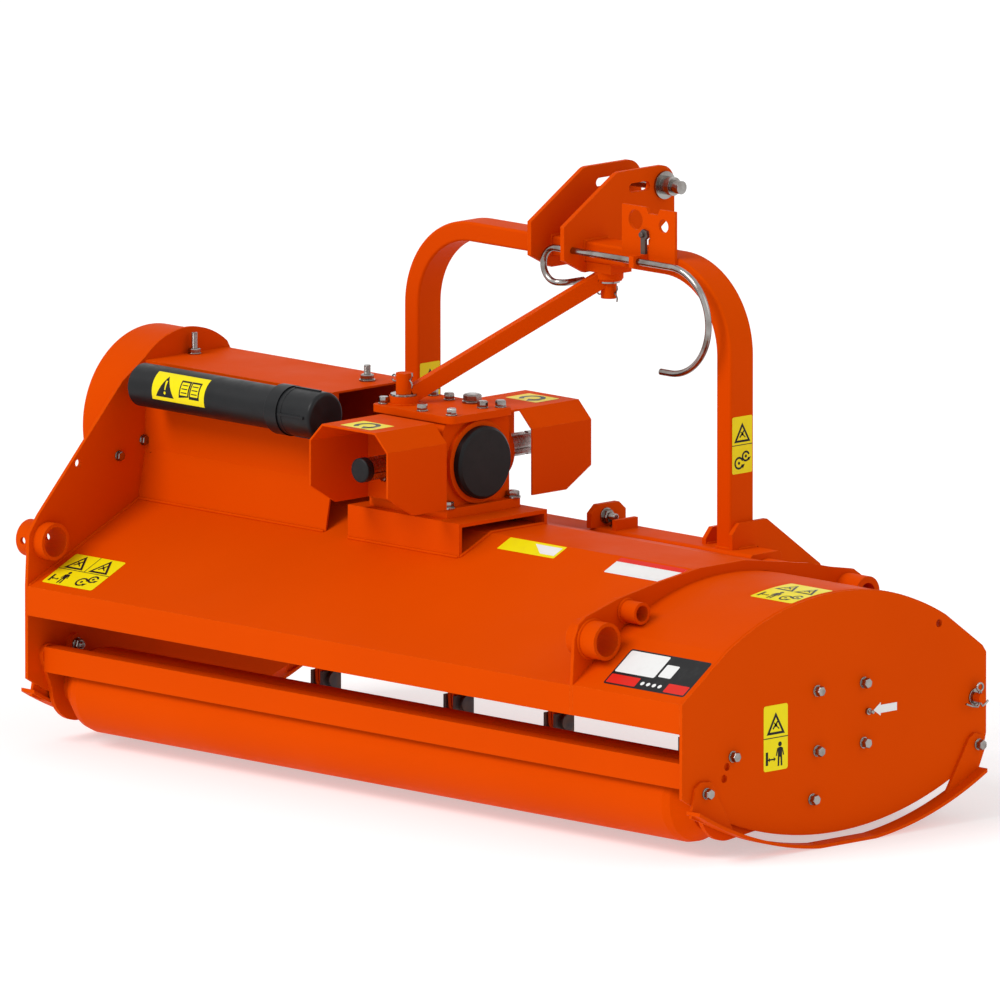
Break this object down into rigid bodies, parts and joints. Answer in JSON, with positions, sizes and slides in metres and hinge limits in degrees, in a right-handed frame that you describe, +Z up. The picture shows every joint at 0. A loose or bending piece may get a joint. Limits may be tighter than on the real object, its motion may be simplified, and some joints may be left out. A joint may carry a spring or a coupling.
{
  "type": "flail mower",
  "caption": "Tractor-mounted flail mower with a bent-sheet deck, belt-driven flail rotor, rear roller, skids, shaft gearbox and a three-point hitch arch.",
  "frame": {"origin": "middle of the machine's bounding box, on the ground plane under the skids", "axes": "+X to the right seen from behind, +Y forward towards the tractor, +Z up"},
  "size_m": [1.499, 0.739, 0.8731],
  "materials": {
    "orange_paint": "semi-gloss powder coat",
    "black_plastic": "moulded, satin",
    "black_cover": "semi-gloss black",
    "black_rubber": "matte",
    "zinc_steel": "zinc plated",
    "shaft_steel": "machined and oiled",
    "dark_steel": "forged, dark oxide"
  },
  "bodies": {
    "mower": {"side_plate_right": "orange_paint", "side_plate_left": "orange_paint", "deck_shell": "orange_paint", "end_hood": "orange_paint", "deck_rib": "orange_paint", "accessory_sockets_right": "orange_paint", "accessory_socket_left": "orange_paint", "belt_guard": "orange_paint", "shaft_cover": "orange_paint", "cover_foot": "orange_paint", "manual_tube": "black_plastic", "manual_tube_cap": "black_plastic", "gearbox_base": "orange_paint", "gearbox_housing": "orange_paint", "gearbox_cover": "black_cover", "gearbox_top_plate": "orange_paint", "pto_guard_rear": "orange_paint", "pto_guard_front": "orange_paint", "cross_shaft_bearing": "orange_paint", "rotor_bearing_right": "orange_paint", "rotor_bearing_left": "orange_paint", "roller_arm_right": "orange_paint", "roller_arm_left": "orange_paint", "scraper_bar": "orange_paint", "skid_right": "orange_paint", "skid_left": "orange_paint", "flap_rod": "orange_paint", "slide_tube": "orange_paint", "hitch_sleeve": "orange_paint", "hitch_bar": "orange_paint", "hitch_arch": "orange_paint", "link_plates_right": "orange_paint", "link_plates_left": "orange_paint", "link_pin_right": "zinc_steel", "link_pin_left": "zinc_steel", "top_cheek_right": "orange_paint", "top_cheek_left": "orange_paint", "top_link_pin": "zinc_steel", "coupler_plate": "orange_paint", "brace_bar": "orange_paint", "brace_pins": "orange_paint"},
    "rotor": {"rotor_tube": "orange_paint", "flail_lugs": "orange_paint", "flails": "dark_steel"},
    "roller": {"rear_roller": "orange_paint"},
    "power_shaft": {"pto_shaft": "shaft_steel", "pto_cap": "black_rubber"},
    "cross_shaft": {"cross_shaft": "shaft_steel"},
    "hook": {"shaft_hook": "zinc_steel"},
    "flaps": {"front_flaps": "orange_paint"}
  },
  "joints": [
    {"name": "rotor_spin", "type": "hinge", "parent": "mower", "child": "rotor", "pos_m": [0.0285, -0.0415, 0.187], "axis": [1, 0, 0], "continuous": true},
    {"name": "roller_spin", "type": "hinge", "parent": "mower", "child": "roller", "pos_m": [0.0285, -0.2725, 0.084], "axis": [1, 0, 0], "continuous": true},
    {"name": "power_shaft_spin", "type": "hinge", "parent": "mower", "child": "power_shaft", "pos_m": [-0.0945, -0.0505, 0.474], "axis": [0, 1, 0], "continuous": true},
    {"name": "cross_shaft_spin", "type": "hinge", "parent": "mower", "child": "cross_shaft", "pos_m": [-0.3715, -0.0505, 0.474], "axis": [1, 0, 0], "continuous": true},
    {"name": "hook_swing", "type": "hinge", "parent": "mower", "child": "hook", "pos_m": [-0.0415, 0.1565, 0.766], "axis": [1, 0, 0], "range_deg": [-95, 5]},
    {"name": "flaps_swing", "type": "hinge", "parent": "mower", "child": "flaps", "pos_m": [0.0285, 0.2385, 0.18], "axis": [1, 0, 0], "range_deg": [-75, 15]}
  ],
  "couplings": [
    {"joint": "power_shaft_spin", "follows": "rotor_spin", "ratio": 0.25},
    {"joint": "cross_shaft_spin", "follows": "rotor_spin", "ratio": 0.75}
  ]
}
